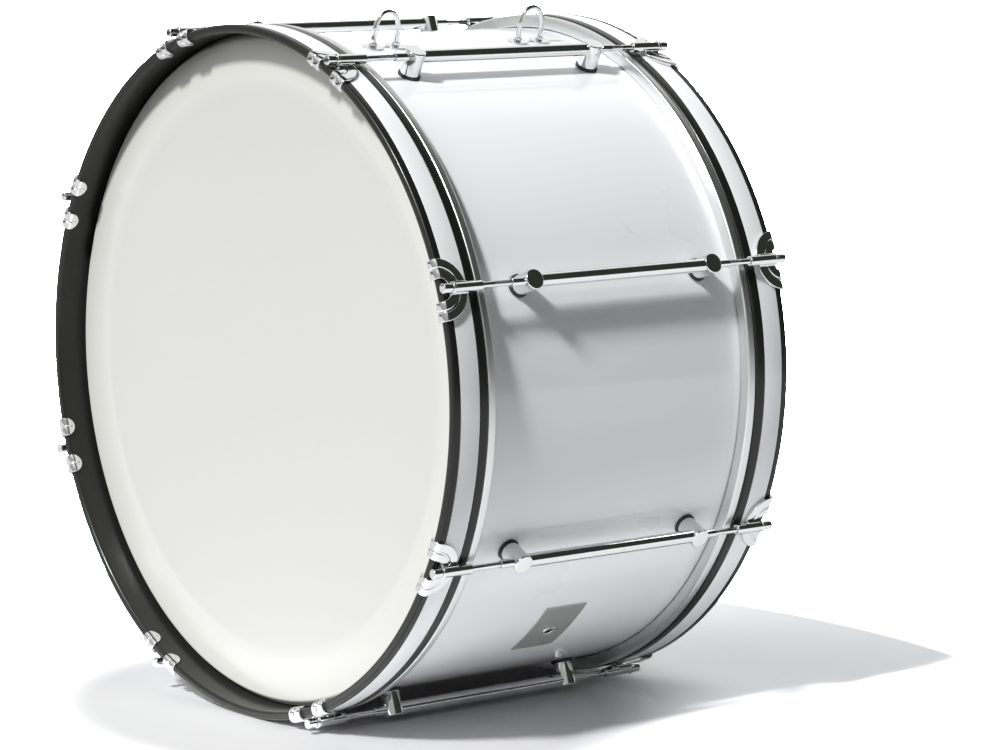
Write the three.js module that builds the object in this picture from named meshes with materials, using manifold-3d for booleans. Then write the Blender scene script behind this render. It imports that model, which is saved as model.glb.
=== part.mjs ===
// Marching bass drum: a wood shell with two heads, held by wood hoops, claw hooks and tension rods.
// Millimetres, +Z up. The drum's axis lies along Y, the front head faces -Y and the floor is z = 0.
import * as THREE from 'three';
import { mergeVertices } from 'three/addons/utils/BufferGeometryUtils.js';
import Module from 'manifold-3d';

const wasm = await Module();
wasm.setup();

// Clearances
const seatGap = 0.3;
const cutOverrun = 2;
const slideClearance = 1;

// Shell: a plain tube with a crowned bearing edge at each end
const shellDiameter = 660.4;
const shellDepth = 355.6;
const shellWall = 7;
const outerBevelWidth = 2;
const outerBevelDepth = 3.6;

// Heads: film, its collar, and the damping ring stuck inside
const filmThickness = 0.5;
const collarDrop = 8;
const dampingRingWidth = 34;
const dampingRingThickness = 1.5;
const dampingRingInset = 0.7;

// Flesh hoops, which grip the film's edge
const fleshHoopWidth = 12.8;
const fleshHoopHeight = 9.2;
const fleshHoopDrop = 11.4;
const fleshRabbetWidth = 4.8;
const fleshRabbetFloor = 3;

// Wood hoops, with an inlaid band
const hoopThickness = 9;
const hoopDepth = 41.6;
const hoopOuterRound = 2.5;
const inlayWidth = 22.3;
const inlayFromFront = 8;
const inlayThickness = 1;
const inlayRecess = 0.2;

// Hardware on the shell stands a little nearer the rear head
const hardwareFromMiddle = 3.8;

// Lugs: a tube between two posts that stand on the shell
const lugCount = 8;
const restRoll = THREE.MathUtils.degToRad(3.85);
const postFromMiddle = 111;
const postHeight = 27.5;
const postDiameter = 20;
const tubeDiameter = 13;
const ferruleDiameter = 8.2;
const ferruleLength = 14.5;

// Tension rods
const rodDiameter = 6;
const rodHeadDiameter = 9.5;
const rodHeadLength = 10;
const rodSlotWidth = 1.6;
const rodSlotDepth = 3;
const rodEngagement = 30;

// Claw hooks: a horseshoe plate with two legs over the hoop and a sleeve for the rod
const clawReach = 29.8;
const clawNotch = 10.8;
const clawCentreAhead = 2.2;
const clawPlate = 2.4;
const clawGrooveWidth = 3;
const clawGrooveDepth = 1;
const hookReach = 9.1;
const hookThickness = 2.4;
const rodAboveHoop = 6;
const sleeveDiameter = 10;
const sleeveLength = 35;
const sleeveFromEdge = 6.6;
const saddleWidth = 12.4;
const saddleHeight = 3.6;

// Strap eyes on top, each a bent wire with two washers and four nuts
const eyeAngle = THREE.MathUtils.degToRad(14);
const eyeFromLugMiddle = 90.8;
const eyeLegSpacing = 28;
const eyeWire = 5;
const eyeHeight = 36;
const eyeTail = 4;
const washerDiameter = 22;
const washerThickness = 1.2;
const nutAcrossFlats = 8;
const nutHeight = 4;

// Air vent with its plain plate
const plateAngle = THREE.MathUtils.degToRad(138.9);
const plateFromMiddle = 7.8;
const plateWidth = 51;
const plateHeight = 75.5;
const plateThickness = 1;
const ventBelowPlateCentre = 3.5;
const ventBore = 8;
const ventTube = 12;
const ventFlange = 16;
const ventFlangeThickness = 1.4;
const ventTail = 1;

// Facets of the round shapes; a flat of each ring lies at the bottom, where the drum rests
const ringSides = 42;
const dampingSides = 26;
const clawRingSides = 36;
const plateRingSides = 72;
const postSides = 10;
const barSides = 8;
const wireSides = 6;
const nutSides = 6;
const wireSteps = 14;
const clawArcSteps = 7;
const grooveArcSteps = 4;
const notchArcSteps = 5;
const hookArcSteps = 3;

// Radii and places that follow from the sizes above; "along" is the distance from mid-depth
const flatShare = Math.cos(Math.PI / ringSides);
const shellRadius = shellDiameter / 2;
const shellInner = shellRadius - shellWall;
const shellEnd = shellDepth / 2;
const fleshInner = shellRadius + slideClearance;
const hoopInner = fleshInner + fleshRabbetWidth;
const hoopRadius = hoopInner + hoopThickness;
const fleshTop = shellEnd - fleshHoopDrop;
const hoopRear = fleshTop + seatGap;
const hoopFront = hoopRear + hoopDepth;
const axisHeight = hoopRadius * flatShare;
const rodRadius = hoopRadius + rodAboveHoop;
const sleeveOuterEnd = hoopFront - sleeveFromEdge;
const lugSpacing = 2 * Math.PI / lugCount;
const firstLugAngle = lugSpacing / 2 + restRoll;
const postTip = shellRadius + postHeight;
const ferruleEnd = postFromMiddle + postDiameter / 2 + ferruleLength;
const eyePlaces = [hardwareFromMiddle - eyeFromLugMiddle, hardwareFromMiddle + eyeFromLugMiddle];

const finishes = {
  shell: { color: 0xf2f2f3, roughness: 0.12, metalness: 0 },
  film: { color: 0xf3f3ee, roughness: 0.45, metalness: 0 },
  damping: { color: 0xf4f4f0, roughness: 0.9, metalness: 0 },
  flesh: { color: 0xa9adb0, roughness: 0.35, metalness: 1 },
  lacquer: { color: 0x141516, roughness: 0.3, metalness: 0 },
  inlay: { color: 0xf0f0f1, roughness: 0.15, metalness: 0 },
  chrome: { color: 0xd5d7da, roughness: 0.08, metalness: 1 },
  plate: { color: 0xa4a6a2, roughness: 0.4, metalness: 1 },
};

function material(finish) {
  return new THREE.MeshStandardMaterial(finishes[finish]);
}

// Keeps only positions, shares vertices and drops the collapsed faces at a lathe's axis.
function welded(source) {
  const geometry = source.index ? source.toNonIndexed() : source.clone();
  geometry.deleteAttribute('normal');
  geometry.deleteAttribute('uv');
  const merged = mergeVertices(geometry);
  const index = merged.index.array;
  const kept = [];
  for (let i = 0; i < index.length; i += 3) {
    const [a, b, c] = index.slice(i, i + 3);
    if (a !== b && b !== c && c !== a) kept.push(a, b, c);
  }
  merged.setIndex(kept);
  return merged;
}

function solid(source) {
  const geometry = welded(source);
  return new wasm.Manifold(new wasm.Mesh({
    numProp: 3,
    vertProperties: new Float32Array(geometry.attributes.position.array),
    triVerts: new Uint32Array(geometry.index.array),
  }));
}

function geometryOf(body) {
  const mesh = body.simplify().getMesh();
  const geometry = new THREE.BufferGeometry();
  geometry.setAttribute('position', new THREE.BufferAttribute(new Float32Array(mesh.vertProperties), 3));
  geometry.setIndex(new THREE.BufferAttribute(new Uint32Array(mesh.triVerts), 1));
  geometry.computeVertexNormals();
  return geometry;
}

function joined(bodies) {
  return bodies.reduce((whole, body) => whole.add(body));
}

function piece(name, geometry, finish) {
  const mesh = new THREE.Mesh(geometry, material(finish));
  mesh.name = name;
  return mesh;
}

// A radius whose polygon still clears a round part of the given radius.
function clearRadius(radius, sides) {
  return (radius + seatGap) / Math.cos(Math.PI / sides);
}

// A closed ring about Y from (radius, along) points, listed with the solid on the left.
function ring(profile, sides, start = Math.PI / sides) {
  const points = [...profile, profile[0]].map(([radius, along]) => new THREE.Vector2(radius, along));
  return new THREE.LatheGeometry(points, sides, start);
}

// A solid turned about Y whose profile starts and ends on the axis.
function turned(profile, sides, start = 0) {
  const points = profile.map(([radius, along]) => new THREE.Vector2(radius, along));
  return new THREE.LatheGeometry(points, sides, start);
}

function box(radiusLow, radiusHigh, alongLow, alongHigh) {
  return [[radiusLow, alongLow], [radiusHigh, alongLow], [radiusHigh, alongHigh], [radiusLow, alongHigh]];
}

// A bar about a line that runs along the drum's axis at the rods' radius.
function barAlong(radius, low, high, sides = barSides) {
  const bar = new THREE.CylinderGeometry(radius, radius, high - low, sides);
  return bar.translate(0, (low + high) / 2, rodRadius);
}

// A pin that stands on the shell, from one radius of the drum to another.
function pinOut(radius, low, high, along, sides) {
  const pin = new THREE.CylinderGeometry(radius, radius, high - low, sides);
  return pin.rotateX(Math.PI / 2).translate(0, along, (low + high) / 2);
}

// A plan outline in (across, along), extruded from one radius of the drum to another.
function prism(shape, low, high) {
  const options = { depth: high - low, bevelEnabled: false };
  return new THREE.ExtrudeGeometry(shape, options).translate(0, 0, low);
}

function polygon(points) {
  return new THREE.Shape(points.map(([across, along]) => new THREE.Vector2(across, along)));
}

// Points on a half circle that bulges towards the drum's middle, from the -X side to the +X side.
function halfCircle(across, along, radius, steps) {
  const points = [];
  for (let i = 0; i <= steps; i += 1) {
    const angle = Math.PI * i / steps;
    points.push([across - radius * Math.cos(angle), along - radius * Math.sin(angle)]);
  }
  return points;
}

function rectangle(acrossLow, acrossHigh, alongLow, alongHigh) {
  return polygon([
    [acrossLow, alongLow], [acrossHigh, alongLow], [acrossHigh, alongHigh], [acrossLow, alongHigh],
  ]);
}

// Shell with the holes for the strap eyes and the vent
function shellGeometry() {
  const crown = shellRadius - outerBevelWidth;
  const innerBevel = crown - shellInner;
  const half = [[shellRadius, shellEnd - outerBevelDepth], [crown, shellEnd], [shellInner, shellEnd - innerBevel]];
  const otherHalf = half.map(([radius, along]) => [radius, -along]).reverse();
  let shell = solid(ring([...otherHalf, ...half], ringSides));
  for (const [radius, angle, along, sides] of shellHoles()) {
    const hole = pinOut(clearRadius(radius, sides), shellInner - cutOverrun, shellRadius + cutOverrun, along, sides);
    shell = shell.subtract(solid(hole.rotateY(angle)));
  }
  return geometryOf(shell);
}

function shellHoles() {
  const holes = [[ventTube / 2, ventAngle(), plateFromMiddle, postSides]];
  for (const middle of eyePlaces) {
    for (const side of [-1, 1]) {
      holes.push([eyeWire / 2, eyeAngle, middle + side * eyeLegSpacing / 2, wireSides]);
    }
  }
  return holes;
}

// Head film: flat over the crown, then down the collar into the flesh hoop's rabbet
function filmGeometry() {
  const inside = shellEnd + seatGap;
  const outside = inside + filmThickness;
  const edge = shellRadius - outerBevelWidth;
  const skirtOuter = hoopInner - seatGap;
  const skirtInner = skirtOuter - filmThickness;
  const collarEnd = shellEnd - collarDrop;
  const skirtEnd = fleshTop - fleshHoopHeight + fleshRabbetFloor + seatGap;
  return welded(turned([
    [0, inside], [edge, inside], [skirtInner, collarEnd], [skirtInner, skirtEnd],
    [skirtOuter, skirtEnd], [skirtOuter, collarEnd], [edge + filmThickness, outside], [0, outside],
  ], ringSides, Math.PI / ringSides));
}

function dampingRingGeometry() {
  const outer = shellInner - dampingRingInset;
  const section = box(outer - dampingRingWidth, outer, shellEnd - dampingRingThickness, shellEnd);
  return welded(ring(section, dampingSides));
}

// L-section whose rabbet holds the film's edge and whose top carries the wood hoop
function fleshHoopGeometry() {
  const bottom = fleshTop - fleshHoopHeight;
  return welded(ring([
    [fleshInner, bottom], [fleshInner + fleshHoopWidth, bottom], [fleshInner + fleshHoopWidth, fleshTop],
    [hoopInner, fleshTop], [hoopInner, bottom + fleshRabbetFloor], [fleshInner, bottom + fleshRabbetFloor],
  ], ringSides));
}

// Where the inlay's groove lies along the axis
const grooveHigh = hoopFront - inlayFromFront;
const grooveLow = grooveHigh - inlayWidth - 2 * seatGap;
const grooveFloor = hoopRadius - inlayRecess - inlayThickness - seatGap;

function woodHoopGeometry() {
  return welded(ring([
    [hoopInner, hoopRear], [hoopRadius - hoopOuterRound, hoopRear], [hoopRadius, hoopRear + hoopOuterRound],
    [hoopRadius, grooveLow], [grooveFloor, grooveLow], [grooveFloor, grooveHigh], [hoopRadius, grooveHigh],
    [hoopRadius, hoopFront - hoopOuterRound], [hoopRadius - hoopOuterRound, hoopFront],
    [hoopInner, hoopFront],
  ], ringSides));
}

function inlayGeometry() {
  const inner = grooveFloor + seatGap;
  return welded(ring(box(inner, inner + inlayThickness, grooveLow + seatGap, grooveHigh - seatGap), ringSides));
}

// Claw hook, with across along X, out along Z, and the hoop's front edge towards +Y.
// Its wrap is one bent section turned about the drum's axis, cut to the outlines seen from outside.
const clawInner = clearRadius(hoopRadius, clawRingSides);
const clawOuter = clawInner + clawPlate;
const clawCentre = hoopFront + clawCentreAhead;
const clawFace = hoopFront + seatGap;
const clawFront = clawFace + clawPlate;
const hookOuter = hoopInner * flatShare - seatGap;
const hookInner = hookOuter - hookThickness;
const legMiddle = (hoopInner + hoopRadius) / 2;
const legAcross = (clawReach + clawNotch) / 2;

function clawWrap() {
  const past = clawCentre - clawReach - cutOverrun;
  return solid(ring([
    [clawInner, past], [clawOuter, past], [clawOuter, clawFront - clawPlate], [clawOuter - clawPlate, clawFront],
    [hookInner + hookThickness, clawFront], [hookInner, clawFront - hookThickness], [hookInner, past],
    [hookOuter, past], [hookOuter, clawFace], [clawInner, clawFace],
  ], clawRingSides));
}

// Half ring round the claw's centre, with legs that run on past the hoop's front edge
function horseshoe(outer, inner, end, outerSteps, innerSteps) {
  const outerArc = halfCircle(0, clawCentre, outer, outerSteps);
  const innerArc = halfCircle(0, clawCentre, inner, innerSteps).reverse();
  return polygon([[-outer, end], ...outerArc, [outer, end], [inner, end], ...innerArc, [-inner, end]]);
}

// Straight slot or leg whose inner end is round, with its tip at a place along the drum
function tongue(across, half, tip, end) {
  const round = halfCircle(across, tip + half, half, hookArcSteps);
  return polygon([[across - half, end], ...round, [across + half, end]]);
}

function clawGeometry() {
  const wrap = clawWrap();
  const end = clawFront + cutOverrun;
  const outside = clawOuter + cutOverrun;
  const outline = horseshoe(clawReach, clawNotch, end, clawArcSteps, notchArcSteps);
  const parts = [wrap.intersect(solid(prism(outline, legMiddle, outside)))];
  const legHalf = (clawReach - clawNotch) / 2;
  for (const across of [-legAcross, legAcross]) {
    const hook = tongue(across, legHalf, hoopFront - hookReach, end);
    parts.push(wrap.intersect(solid(prism(hook, hookInner - cutOverrun, legMiddle))));
  }
  const sleeveInnerEnd = sleeveOuterEnd - sleeveLength;
  parts.push(solid(barAlong(sleeveDiameter / 2, sleeveInnerEnd, sleeveOuterEnd)));
  parts.push(solid(prism(saddleOutline(seatGap), clawInner + seatGap, clawOuter + saddleHeight)));
  return geometryOf(joined(parts).subtract(clawGroove(end)).subtract(solid(barAlong(
    clearRadius(rodDiameter / 2, barSides), sleeveInnerEnd - cutOverrun, sleeveOuterEnd + cutOverrun,
  ))));
}

function saddleOutline(inset) {
  const low = clawCentre - clawReach + inset;
  return rectangle(-saddleWidth / 2, saddleWidth / 2, low, clawCentre - clawNotch);
}

// Groove along the middle of the horseshoe, out through its front but not under the saddle
function clawGroove(end) {
  const outside = clawOuter + cutOverrun;
  const half = clawGrooveWidth / 2;
  const depth = ring(box(clawOuter - clawGrooveDepth, outside, clawCentre - clawReach, end), clawRingSides);
  const outline = horseshoe(legAcross + half, legAcross - half, end, grooveArcSteps, grooveArcSteps);
  return solid(depth)
    .intersect(solid(prism(outline, legMiddle, outside + cutOverrun)))
    .subtract(solid(prism(saddleOutline(0), legMiddle, outside + cutOverrun)));
}

// Tension rod with a slotted round head that seats on the sleeve's outer end
function rodGeometry() {
  const headLow = sleeveOuterEnd + seatGap;
  const headHigh = headLow + rodHeadLength;
  const tip = ferruleEnd - rodEngagement;
  const shaft = turned([
    [0, tip], [rodDiameter / 2, tip], [rodDiameter / 2, headLow], [rodHeadDiameter / 2, headLow],
    [rodHeadDiameter / 2, headHigh], [0, headHigh],
  ], barSides).translate(0, 0, rodRadius);
  const slot = new THREE.BoxGeometry(rodSlotWidth, rodSlotDepth + cutOverrun, rodHeadDiameter + cutOverrun);
  slot.translate(0, headHigh - (rodSlotDepth - cutOverrun) / 2, rodRadius);
  return geometryOf(solid(shaft).subtract(solid(slot)));
}

// Tube lug: posts, tube and ferrules, bored along the rods' line
function lugGeometry() {
  const seat = shellRadius + seatGap;
  const parts = [solid(barAlong(tubeDiameter / 2, -postFromMiddle, postFromMiddle))];
  for (const side of [-1, 1]) {
    const along = side * postFromMiddle;
    parts.push(solid(pinOut(postDiameter / 2, seat, postTip, along, postSides)));
    const ends = [along, side * ferruleEnd].sort((a, b) => a - b);
    parts.push(solid(barAlong(ferruleDiameter / 2, ends[0], ends[1], wireSides)));
  }
  const bore = barAlong(
    clearRadius(rodDiameter / 2, wireSides), -ferruleEnd - cutOverrun, ferruleEnd + cutOverrun, wireSides,
  );
  return geometryOf(joined(parts).subtract(solid(bore)));
}

// Centre line of a strap eye: straight legs under a slightly pointed arch
class EyeLine extends THREE.CurvePath {
  constructor(tail) {
    super();
    const half = eyeLegSpacing / 2;
    const apex = shellRadius + eyeHeight;
    const shoulder = apex - eyeLegSpacing * shoulderShare;
    const place = (along, out) => new THREE.Vector3(0, along, out);
    const top = place(0, apex);
    this.add(new THREE.LineCurve3(place(-half, tail), place(-half, shoulder)));
    this.add(new THREE.QuadraticBezierCurve3(place(-half, shoulder), place(-half * leanShare, apex), top));
    this.add(new THREE.QuadraticBezierCurve3(top, place(half * leanShare, apex), place(half, shoulder)));
    this.add(new THREE.LineCurve3(place(half, shoulder), place(half, tail)));
  }
}
const shoulderShare = 0.62;
const leanShare = 0.86;

function circle(radius, sides) {
  const points = [];
  for (let i = 0; i < sides; i += 1) {
    const angle = 2 * Math.PI * i / sides;
    points.push([radius * Math.cos(angle), radius * Math.sin(angle)]);
  }
  return polygon(points);
}

function strapEyeGeometry() {
  const inside = shellInner * flatShare - seatGap;
  const washerTop = shellRadius + seatGap + washerThickness;
  const line = new EyeLine(inside - nutHeight - eyeTail);
  const wire = new THREE.ExtrudeGeometry(circle(eyeWire / 2, wireSides), { steps: wireSteps, extrudePath: line });
  const parts = [solid(wire)];
  const nutRadius = nutAcrossFlats / 2 / Math.cos(Math.PI / nutSides);
  for (const side of [-1, 1]) {
    const along = side * eyeLegSpacing / 2;
    parts.push(solid(pinOut(nutRadius, washerTop + seatGap, washerTop + seatGap + nutHeight, along, nutSides)));
    parts.push(solid(pinOut(nutRadius, inside - nutHeight, inside, along, nutSides)));
  }
  return geometryOf(joined(parts));
}

function washerGeometry() {
  const hole = clearRadius(eyeWire / 2, postSides);
  const seat = shellRadius + seatGap;
  const section = box(hole, washerDiameter / 2, 0, washerThickness);
  return welded(ring(section, postSides).rotateX(Math.PI / 2).translate(0, 0, seat));
}

function ventAngle() {
  return plateAngle + ventBelowPlateCentre / shellRadius;
}

// Bare curved plate with the vent's hole
function plateGeometry() {
  const inner = clearRadius(shellRadius, plateRingSides);
  const outer = inner + plateThickness;
  const band = ring(box(inner, outer, -plateWidth / 2, plateWidth / 2), plateRingSides, 0);
  const outline = rectangle(-plateHeight / 2, plateHeight / 2, -plateWidth, plateWidth);
  const plate = solid(band).intersect(solid(prism(outline, shellInner, outer + cutOverrun)));
  const hole = pinOut(
    clearRadius(ventTube / 2, postSides), shellInner, outer + cutOverrun, 0, postSides,
  ).rotateY(ventAngle() - plateAngle);
  return geometryOf(plate.subtract(solid(hole)));
}

// Vent grommet: a flange on the plate and a tube through the plate and the shell
function grommetGeometry() {
  const flangeLow = clearRadius(shellRadius, plateRingSides) + plateThickness + seatGap;
  const flangeHigh = flangeLow + ventFlangeThickness;
  const profile = [
    [ventBore / 2, shellInner - ventTail], [ventTube / 2, shellInner - ventTail], [ventTube / 2, flangeLow],
    [ventFlange / 2, flangeLow], [ventFlange / 2, flangeHigh], [ventBore / 2, flangeHigh],
  ];
  return welded(ring(profile, postSides).rotateX(Math.PI / 2));
}

// One end of the drum, built for the rear; the front is the same, turned half a turn about Z.
function end(side) {
  const group = new THREE.Group();
  group.rotation.z = side === 'front' ? Math.PI : 0;
  const turn = side === 'front' ? -1 : 1;
  group.add(piece(`${side}_head`, filmGeometry(), 'film'));
  group.add(piece(`${side}_damping_ring`, dampingRingGeometry(), 'damping'));
  group.add(piece(`${side}_flesh_hoop`, fleshHoopGeometry(), 'flesh'));
  group.add(piece(`${side}_wood_hoop`, woodHoopGeometry(), 'lacquer'));
  group.add(piece(`${side}_hoop_inlay`, inlayGeometry(), 'inlay'));
  const claw = clawGeometry();
  const rod = rodGeometry();
  for (let i = 0; i < lugCount; i += 1) {
    const station = new THREE.Group();
    station.rotation.y = turn * (firstLugAngle + i * lugSpacing);
    station.add(piece(`${side}_claw_${i + 1}`, claw, 'chrome'));
    station.add(piece(`${side}_rod_${i + 1}`, rod, 'chrome'));
    group.add(station);
  }
  return group;
}

function lugs() {
  const group = new THREE.Group();
  const lug = lugGeometry();
  for (let i = 0; i < lugCount; i += 1) {
    const mesh = piece(`lug_${i + 1}`, lug, 'chrome');
    mesh.rotation.y = firstLugAngle + i * lugSpacing;
    mesh.position.y = hardwareFromMiddle;
    group.add(mesh);
  }
  return group;
}

function strapEyes() {
  const group = new THREE.Group();
  group.rotation.y = eyeAngle;
  const eye = strapEyeGeometry();
  const washer = washerGeometry();
  for (const [side, middle] of [['front', eyePlaces[0]], ['rear', eyePlaces[1]]]) {
    const mesh = piece(`${side}_strap_eye`, eye, 'chrome');
    mesh.position.y = middle;
    group.add(mesh);
    for (const [leg, legSign] of [['front', -1], ['rear', 1]]) {
      const disc = piece(`${side}_strap_eye_${leg}_washer`, washer, 'chrome');
      disc.position.y = middle + legSign * eyeLegSpacing / 2;
      group.add(disc);
    }
  }
  return group;
}

function vent() {
  const group = new THREE.Group();
  group.position.y = plateFromMiddle;
  const plate = piece('vent_plate', plateGeometry(), 'plate');
  plate.rotation.y = plateAngle;
  const grommet = piece('vent_grommet', grommetGeometry(), 'chrome');
  grommet.rotation.y = ventAngle();
  group.add(plate, grommet);
  return group;
}

const drum = new THREE.Group();
drum.position.z = axisHeight;
drum.add(piece('shell', shellGeometry(), 'shell'));
drum.add(end('front'), end('rear'), lugs(), strapEyes(), vent());

export default drum;
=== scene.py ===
"""Looks of the marching bass drum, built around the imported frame. Metres, +Z up, the drum's axis along Y."""
import math

import bpy
from mathutils import Matrix, Vector


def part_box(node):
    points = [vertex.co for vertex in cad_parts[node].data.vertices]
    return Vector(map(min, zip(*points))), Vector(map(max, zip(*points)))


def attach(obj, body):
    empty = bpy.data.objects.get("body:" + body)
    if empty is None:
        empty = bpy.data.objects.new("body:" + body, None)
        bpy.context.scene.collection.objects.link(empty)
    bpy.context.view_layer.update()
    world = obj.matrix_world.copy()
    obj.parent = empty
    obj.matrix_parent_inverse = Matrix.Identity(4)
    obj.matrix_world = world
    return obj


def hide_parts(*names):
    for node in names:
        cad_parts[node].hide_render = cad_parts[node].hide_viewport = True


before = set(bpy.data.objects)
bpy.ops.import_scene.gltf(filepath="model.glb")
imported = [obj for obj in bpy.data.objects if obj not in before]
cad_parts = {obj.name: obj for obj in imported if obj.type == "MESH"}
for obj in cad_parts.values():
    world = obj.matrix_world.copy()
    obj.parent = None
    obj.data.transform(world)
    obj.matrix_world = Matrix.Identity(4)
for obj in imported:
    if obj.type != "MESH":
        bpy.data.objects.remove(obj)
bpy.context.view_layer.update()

MM = 0.001
HALF = 0.5
SIDES = ("front", "rear")
SIGNS = (-1, 1)
UPRIGHT = Matrix.Rotation(math.pi / 2, 4, "X")

# Places taken from the frame
hoop_low, hoop_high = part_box("rear_wood_hoop")
AXIS = (hoop_low.z + hoop_high.z) / 2
HOOP_REAR = hoop_low.y
HOOP_FRONT = hoop_high.y
HOOP_RADIUS = AXIS - hoop_low.z
SHELL_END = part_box("shell")[1].y
FILM_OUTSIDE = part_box("rear_head")[1].y
FLESH_LOW, FLESH_TOP = (corner.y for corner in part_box("rear_flesh_hoop"))
INLAY_LOW, INLAY_HIGH = (corner.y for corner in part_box("rear_hoop_inlay"))
ROD_TIP, ROD_END = (corner.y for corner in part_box("rear_rod_1"))
LUG_LOW, LUG_HIGH = (corner.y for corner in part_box("lug_1"))
HARDWARE_MIDDLE = (LUG_LOW + LUG_HIGH) / 2
LUG_END = LUG_HIGH - HARDWARE_MIDDLE

# Shell
SHELL_RADIUS = 330.2 * MM
SHELL_WALL = 7 * MM
SHELL_BEVEL = 2 * MM
SHELL_SHOULDER = 3.6 * MM
SHELL_SHOULDER_ROUND = 4 * MM
SHELL_CROWN_ROUND = 0.6 * MM
SHELL_INNER_ROUND = 1 * MM
CUT_MARGIN = 5 * MM

# Film, with a fine step round its middle and a collar at its edge
FILM_THICKNESS = 0.5 * MM
FILM_FLAT = 329.2 * MM
FILM_EDGE = 334.8 * MM
FILM_EDGE_ROUND = 2 * MM
FILM_DROP = 8 * MM
FILM_CROWN = 4 * MM
FILM_SKIRT = 4 * MM
FILM_STEP_IN = 281 * MM
FILM_STEP_OUT = 289 * MM
FILM_STEP = 0.45 * MM
FILM_STEP_ROWS = 8
RIM_TONE_IN = 5 * MM
RIM_TONE_OUT = 3 * MM

# Damping ring
RING_WIDTH = 34 * MM
RING_THICKNESS = 1.5 * MM
RING_CLEARANCE = 0.8 * MM
RING_ROUND = 0.5 * MM

# Flesh hoop
FLESH_INNER = 331.2 * MM
FLESH_OUTER = 343.2 * MM
FLESH_LIP = 0.4 * MM
FLESH_STEP = 3 * MM
FLESH_LOW_ROUND = 2.2 * MM
FLESH_TOP_ROUND = 1.6 * MM
FLESH_LIP_ROUND = 0.4 * MM
FLESH_CORNER_ROUND = 0.3 * MM
FLESH_STEP_ROUND = 0.6 * MM
FLESH_INNER_ROUND = 0.8 * MM

# Wood hoop and inlay
HOOP_INNER = 335.3 * MM
HOOP_ROUND = 2.6 * MM
HOOP_INNER_ROUND = 2.8 * MM
HOOP_REAR_ROUND = 0.5 * MM
INLAY_RECESS = 0.15 * MM
INLAY_GAP = 0.3 * MM
INLAY_LIP_ROUND = 0.25 * MM
INLAY_THICKNESS = 1 * MM
INLAY_LIFT = 0.1 * MM
INLAY_ROUND = 0.25 * MM

# Rods
LUG_COUNT = 8
FIRST_LUG = math.radians(26.35)
ROD_RADIUS = 351 * MM
ROD_HALF = 3 * MM
ROD_SIDES = 24
ROD_OVERLAP = 1 * MM
ROD_HEAD_HALF = 4.75 * MM
ROD_HEAD_LENGTH = 10 * MM
ROD_HEAD_ROUND = 1 * MM
ROD_HEAD_LOW_ROUND = 0.5 * MM
SLOT_WIDTH = 1.6 * MM
SLOT_DEPTH = 3 * MM
SLOT_MARGIN = 1 * MM
THREAD_PITCH = 1.25 * MM
THREAD_DEPTH = 0.35 * MM
THREAD_LENGTH = 48 * MM
THREAD_RUNOUT = 2 * MM
THREAD_CLEARANCE = 0.02 * MM
THREAD_SIDES = 18
THREAD_ROWS_A_TURN = 5

# Claws
SLEEVE_HALF = 5 * MM
SLEEVE_BORE = 3.4 * MM
SLEEVE_BORE_ROUND = 0.3 * MM
SLEEVE_LENGTH = 35 * MM
SLEEVE_CLEARANCE = 0.3 * MM
SLEEVE_ROUND = 0.7 * MM
SLEEVE_ARC_STEPS = 4
COLLAR_HALF = 5.9 * MM
COLLAR_LENGTH = 2.8 * MM
COLLAR_STEP_ROUND = 0.5 * MM
CLAW_REACH = 29.8 * MM
CLAW_NOTCH = 10.8 * MM
CLAW_AHEAD = 2.2 * MM
CLAW_GAP = 0.5 * MM
CLAW_TOUCH = 0.1 * MM
CLAW_PLATE = 2.9 * MM
CLAW_BEND = 6 * MM
CLAW_EDGE_ROUND = 0.8 * MM
CLAW_CROWN = 0.2 * MM
CLAW_CROWN_STEPS = 5
CLAW_LEG_STEPS = 12
CLAW_ARCH_STEPS = 40
GROOVE_INNER = 18.8 * MM
GROOVE_OUTER = 21.8 * MM
GROOVE_DEPTH = 0.7 * MM
GROOVE_START = 2.5 * MM
GROOVE_FADE = 2 * MM
GROOVE_POWER = 0.7
GROOVE_STEPS = 8
HOOK_REACH = 9.1 * MM
HOOK_TIP_SHARE = 0.06
SADDLE_HALF = 6.2 * MM
SADDLE_TOP = 7.3 * MM
SADDLE_INSET = 0.4 * MM
SADDLE_SINK = 0.6 * MM
SADDLE_ROUND = 1.6 * MM

# The saddle's rounded ends, as (way in from the end, drop below the top)
SADDLE_INNER_END = (
    (0, 2.4 * MM), (0.3 * MM, 1.5 * MM), (0.9 * MM, 0.6 * MM), (1.8 * MM, 0.1 * MM), (2.6 * MM, 0),
)
SADDLE_OUTER_END = ((1.2 * MM, 0), (0.4 * MM, 0.3 * MM), (0, 0.9 * MM))

# Lugs and gaskets
POST_ALONG = 111 * MM
POST_HALF = 10 * MM
POST_TIP = 357.7 * MM
POST_ROUND = 1.3 * MM
POST_FOOT_ROUND = 0.5 * MM
TUBE_HALF = 6.5 * MM
FERRULE_HALF = 4.1 * MM
FERRULE_CLEARANCE = 0.3 * MM
FERRULE_ROUND = 0.6 * MM
FERRULE_BORE_ROUND = 0.3 * MM
GASKET_HALF = 11.3 * MM
GASKET_THICKNESS = 2.8 * MM
GASKET_SINK = 0.2 * MM
GASKET_FOOT_ROUND = 0.4 * MM
GASKET_TOP_ROUND = 0.8 * MM

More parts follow.
